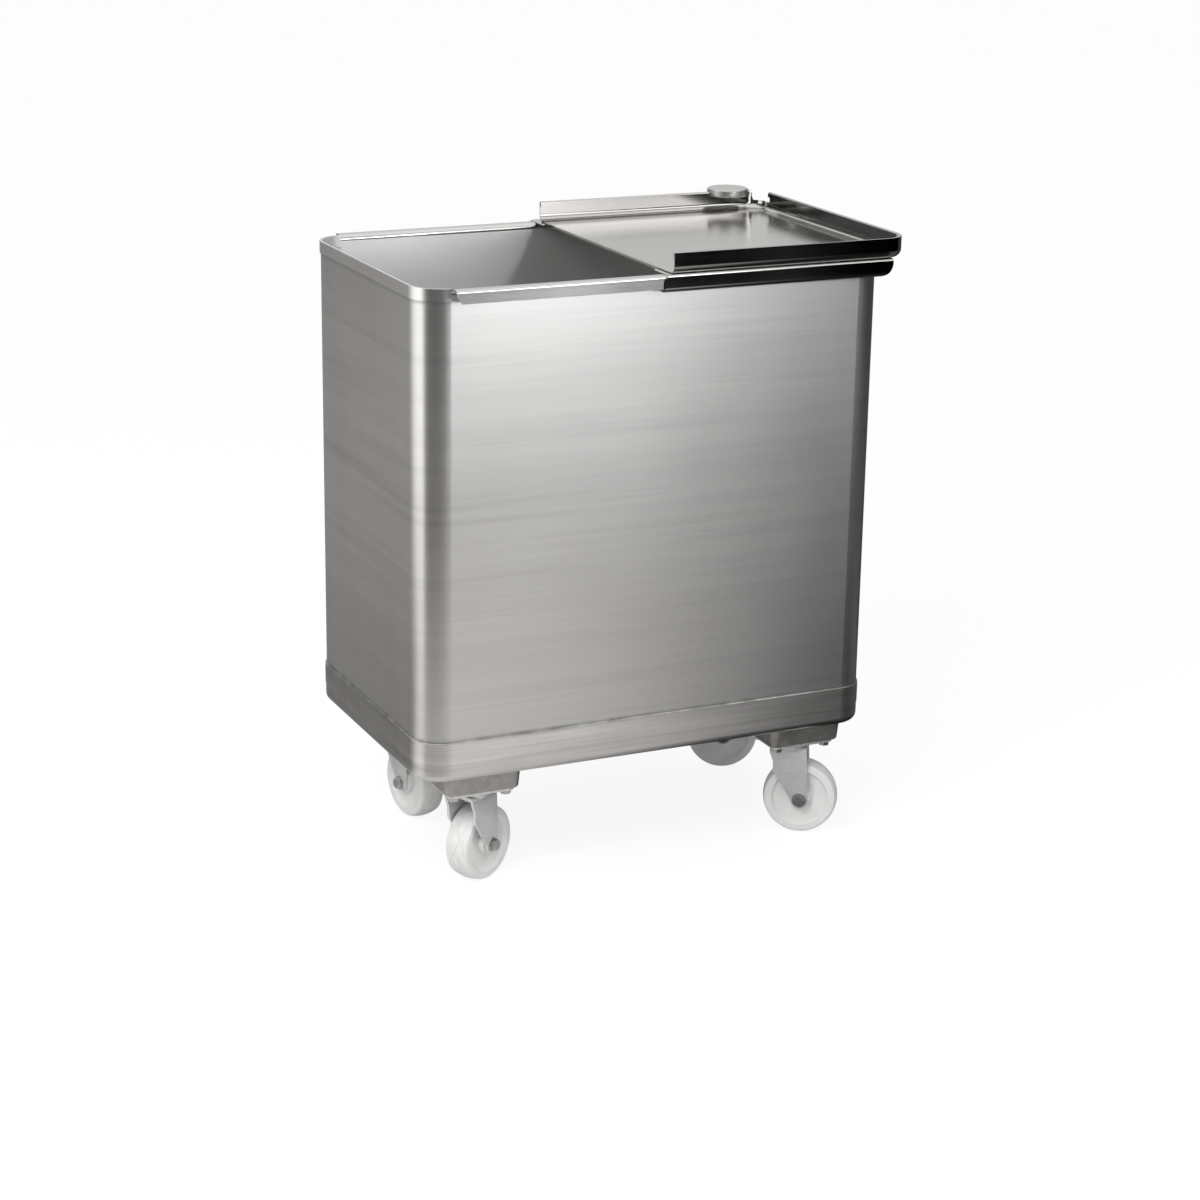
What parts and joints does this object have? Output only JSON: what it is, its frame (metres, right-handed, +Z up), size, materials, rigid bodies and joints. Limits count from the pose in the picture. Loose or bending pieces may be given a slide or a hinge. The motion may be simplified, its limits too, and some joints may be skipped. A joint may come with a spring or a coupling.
{
  "type": "rolling ingredient bin",
  "caption": "Deep stainless ingredient bin with rounded corners on swivel casters; a half lid with raised edges slides along the turned-out rim.",
  "frame": {"origin": "on the floor, below the middle of the bin's outer box", "axes": "+Z up, +X along the bin towards the end that the lid covers, -Y the front long side"},
  "size_m": [0.68, 0.4498, 0.851],
  "materials": {
    "stainless_sheet": "satin",
    "zinc_steel": "zinc plated",
    "bright_steel": "bright plated",
    "white_plastic": "moulded",
    "knob_metal": "satin"
  },
  "bodies": {
    "bin": {"base_pan": "stainless_sheet", "front_left_ball_ring": "bright_steel", "front_left_bracket": "zinc_steel", "front_left_king_bolt": "bright_steel", "front_left_plate": "zinc_steel", "front_right_ball_ring": "bright_steel", "front_right_bracket": "zinc_steel", "front_right_king_bolt": "bright_steel", "front_right_plate": "zinc_steel", "front_rim_rail": "stainless_sheet", "plate_bolts": "bright_steel", "plate_nuts": "bright_steel", "rear_left_ball_ring": "bright_steel", "rear_left_bracket": "zinc_steel", "rear_left_king_bolt": "bright_steel", "rear_left_plate": "zinc_steel", "rear_right_ball_ring": "bright_steel", "rear_right_bracket": "zinc_steel", "rear_right_king_bolt": "bright_steel", "rear_right_plate": "zinc_steel", "rear_rim_rail": "stainless_sheet", "tub_shell": "stainless_sheet"},
    "lid": {"lid_tray": "stainless_sheet", "lid_front_guide": "stainless_sheet", "lid_rear_guide": "stainless_sheet", "lid_knob": "knob_metal"},
    "front_left_swivel": {"front_left_fork": "zinc_steel", "front_left_axle_bolt": "bright_steel", "front_left_axle_nut": "bright_steel"},
    "front_left_roller": {"front_left_wheel": "white_plastic", "front_left_bush": "bright_steel"},
    "front_right_swivel": {"front_right_fork": "zinc_steel", "front_right_axle_bolt": "bright_steel", "front_right_axle_nut": "bright_steel"},
    "front_right_roller": {"front_right_wheel": "white_plastic", "front_right_bush": "bright_steel"},
    "rear_left_swivel": {"rear_left_fork": "zinc_steel", "rear_left_axle_bolt": "bright_steel", "rear_left_axle_nut": "bright_steel"},
    "rear_left_roller": {"rear_left_wheel": "white_plastic", "rear_left_bush": "bright_steel"},
    "rear_right_swivel": {"rear_right_fork": "zinc_steel", "rear_right_axle_bolt": "bright_steel", "rear_right_axle_nut": "bright_steel"},
    "rear_right_roller": {"rear_right_wheel": "white_plastic", "rear_right_bush": "bright_steel"}
  },
  "joints": [
    {"name": "lid_slide", "type": "slide", "parent": "bin", "child": "lid", "axis": [1, 0, 0], "range_m": [0, 0.25]},
    {"name": "front_left_swivel_turn", "type": "hinge", "parent": "bin", "child": "front_left_swivel", "pos_m": [-0.243, -0.13587, 0.1289], "axis": [0, 0, 1], "continuous": true},
    {"name": "front_left_wheel_spin", "type": "hinge", "parent": "front_left_swivel", "child": "front_left_roller", "pos_m": [-0.22914, -0.12787, 0.052], "axis": [-0.5, 0.866, 0], "continuous": true},
    {"name": "front_right_swivel_turn", "type": "hinge", "parent": "bin", "child": "front_right_swivel", "pos_m": [0.238, -0.13587, 0.1289], "axis": [0, 0, 1], "continuous": true},
    {"name": "front_right_wheel_spin", "type": "hinge", "parent": "front_right_swivel", "child": "front_right_roller", "pos_m": [0.25142, -0.14459, 0.052], "axis": [0.5446, 0.8387, 0], "continuous": true},
    {"name": "rear_left_swivel_turn", "type": "hinge", "parent": "bin", "child": "rear_left_swivel", "pos_m": [-0.229, 0.13112, 0.1289], "axis": [0, 0, 1], "continuous": true},
    {"name": "rear_left_wheel_spin", "type": "hinge", "parent": "rear_left_swivel", "child": "rear_left_roller", "pos_m": [-0.22622, 0.11537, 0.052], "axis": [0.9848, 0.1736, 0], "continuous": true},
    {"name": "rear_right_swivel_turn", "type": "hinge", "parent": "bin", "child": "rear_right_swivel", "pos_m": [0.252, 0.13112, 0.1289], "axis": [0, 0, 1], "continuous": true},
    {"name": "rear_right_wheel_spin", "type": "hinge", "parent": "rear_right_swivel", "child": "rear_right_roller", "pos_m": [0.26683, 0.12513, 0.052], "axis": [0.3746, 0.9272, 0], "continuous": true}
  ]
}
